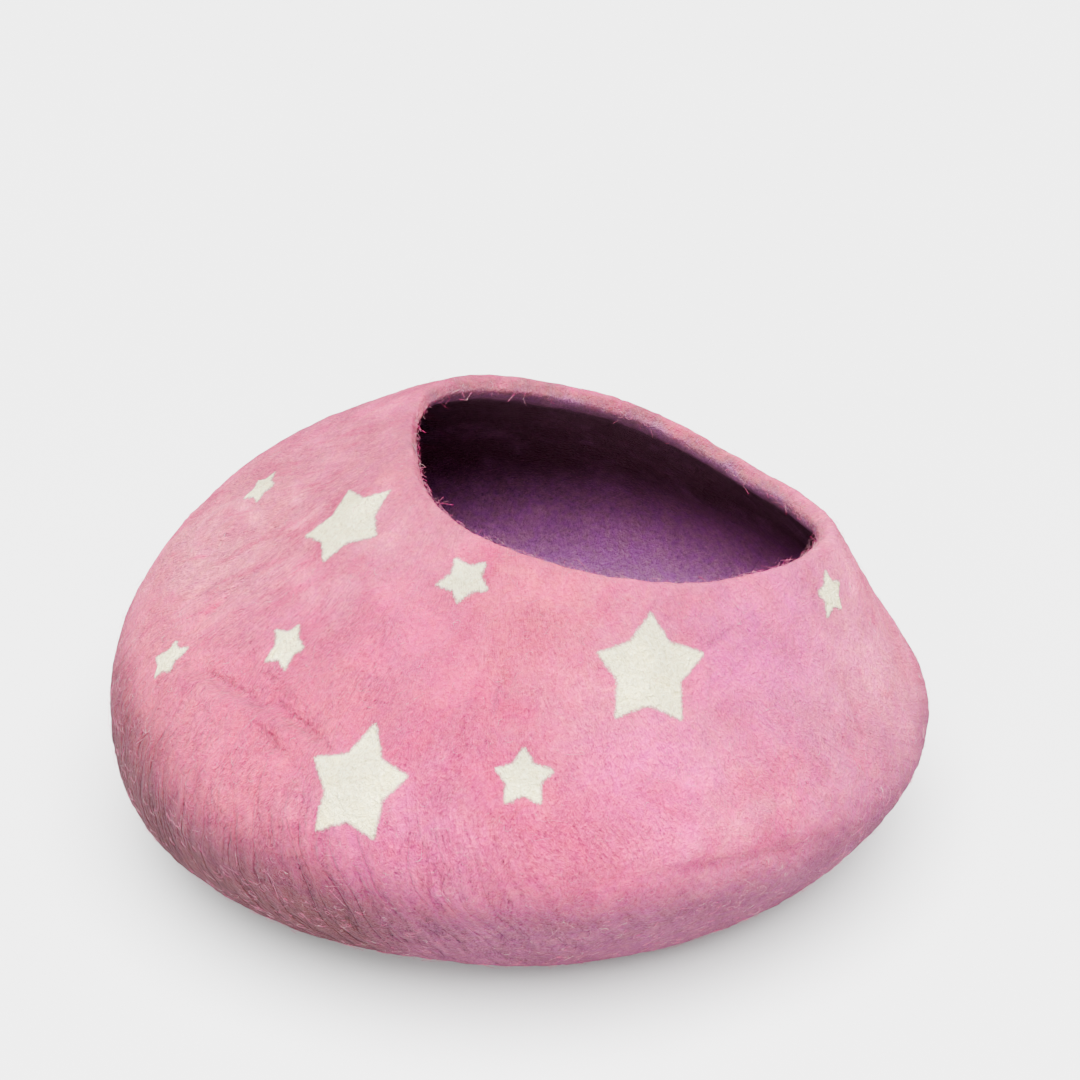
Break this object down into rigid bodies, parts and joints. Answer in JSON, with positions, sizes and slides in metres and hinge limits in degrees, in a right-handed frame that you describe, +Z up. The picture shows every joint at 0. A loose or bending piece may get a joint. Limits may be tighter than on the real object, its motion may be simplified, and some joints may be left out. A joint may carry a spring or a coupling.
{
  "type": "felt cat cave",
  "caption": "Seamless wool felt pouch bed for a cat, with a flat base, a sloping off-centre top opening and cream felt stars on its front.",
  "frame": {"origin": "on the floor under the middle of the pouch's box", "axes": "+Z up; -Y to the front, the side with the stars; +X to the right seen from the front"},
  "size_m": [0.456, 0.4194, 0.2608],
  "materials": {
    "pink_wool_felt": "matte wool felt, mottled pink outside, blending over the lip to deep purple inside",
    "cream_wool_felt": "matte undyed wool felt with soft fibrous edges"
  },
  "bodies": {
    "root": {"felt_shell": "pink_wool_felt", "star_top_left_small": "cream_wool_felt", "star_top_left_large": "cream_wool_felt", "star_under_rim": "cream_wool_felt", "star_left_small": "cream_wool_felt", "star_far_left_small": "cream_wool_felt", "star_low_left_large": "cream_wool_felt", "star_low_middle": "cream_wool_felt", "star_right_large": "cream_wool_felt", "star_far_right_small": "cream_wool_felt"}
  },
  "joints": []
}
